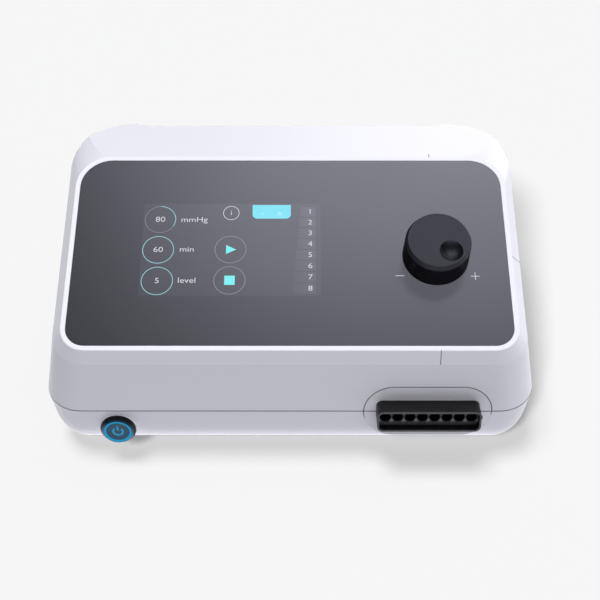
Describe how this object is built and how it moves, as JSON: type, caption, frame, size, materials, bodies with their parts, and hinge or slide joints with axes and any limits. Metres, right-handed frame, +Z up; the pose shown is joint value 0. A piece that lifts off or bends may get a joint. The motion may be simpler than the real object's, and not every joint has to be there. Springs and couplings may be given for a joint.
{
  "type": "compression therapy pump",
  "caption": "Wedge-shaped desktop air compression console with a sloping dark touch panel, rotary dial, lit power button and a row hose socket.",
  "frame": {"origin": "on the table under the middle of the console's whole box", "axes": "+X to the user's right, -Y towards the user, +Z up"},
  "size_m": [0.3004, 0.2029, 0.127],
  "materials": {
    "white_shell": "satin moulded",
    "panel_black": "back-printed glossy sheet",
    "tape": "foam tape",
    "steel": "pressed sheet",
    "screen": "lit screen",
    "ribbon": "flat cable",
    "board_green": "circuit board",
    "component_black": "moulded",
    "zinc": "zinc plated",
    "dial_black": "fine satin",
    "bezel_black": "black anodised",
    "ring_blue": "translucent, lit",
    "cap_dark": "dark satin",
    "socket_black": "moulded",
    "hose_clear": "silicone",
    "acetal": "machined",
    "motor_grey": "powder coated",
    "head_alloy": "die cast",
    "rubber_black": "moulded",
    "brass_pin": "nickel plated",
    "lead_brown": "insulated lead",
    "filter_grey": "open foam"
  },
  "bodies": {
    "console": {"upper_housing": "white_shell", "lower_housing": "white_shell", "face_panel": "panel_black", "panel_adhesive": "tape", "display_gasket": "tape", "display_frame": "steel", "display_screen": "screen", "display_bracket": "steel", "display_ribbon": "ribbon", "bracket_screws": "zinc", "control_board": "board_green", "control_board_parts": "component_black", "board_screws": "zinc", "encoder_body": "steel", "encoder_nut": "zinc", "encoder_board": "board_green", "button_bezel": "bezel_black", "button_light_ring": "ring_blue", "button_switch": "component_black", "button_nut": "zinc", "socket_shroud": "socket_black", "socket_gasket": "tape", "port_block": "socket_black", "link_hoses": "hose_clear", "valve_manifold": "acetal", "manifold_screws": "zinc", "solenoid_valves": "component_black", "pressure_sensor": "component_black", "pump_motor": "motor_grey", "pump_heads": "head_alloy", "pump_plate": "steel", "pump_mounts": "rubber_black", "intake_filter": "filter_grey", "supply_hose": "hose_clear", "supply_board": "board_green", "supply_parts": "component_black", "supply_screws": "zinc", "mains_inlet": "component_black", "inlet_pins": "brass_pin", "inlet_leads": "lead_brown", "vent_filter": "filter_grey", "housing_screws": "zinc", "rubber_feet": "rubber_black"},
    "dial": {"control_dial": "dial_black", "encoder_shaft": "steel"},
    "power_button": {"button_cap": "cap_dark"}
  },
  "joints": [
    {"name": "dial_turn", "type": "hinge", "parent": "console", "child": "dial", "pos_m": [0.0893, -0.01537, 0.10277], "axis": [0, -0.2588, 0.9659], "continuous": true},
    {"name": "button_press", "type": "slide", "parent": "console", "child": "power_button", "axis": [0, 0.9877, -0.1564], "range_m": [0, 0.002], "stiffness_N_per_m": 600, "springref_m": -0.0015}
  ]
}
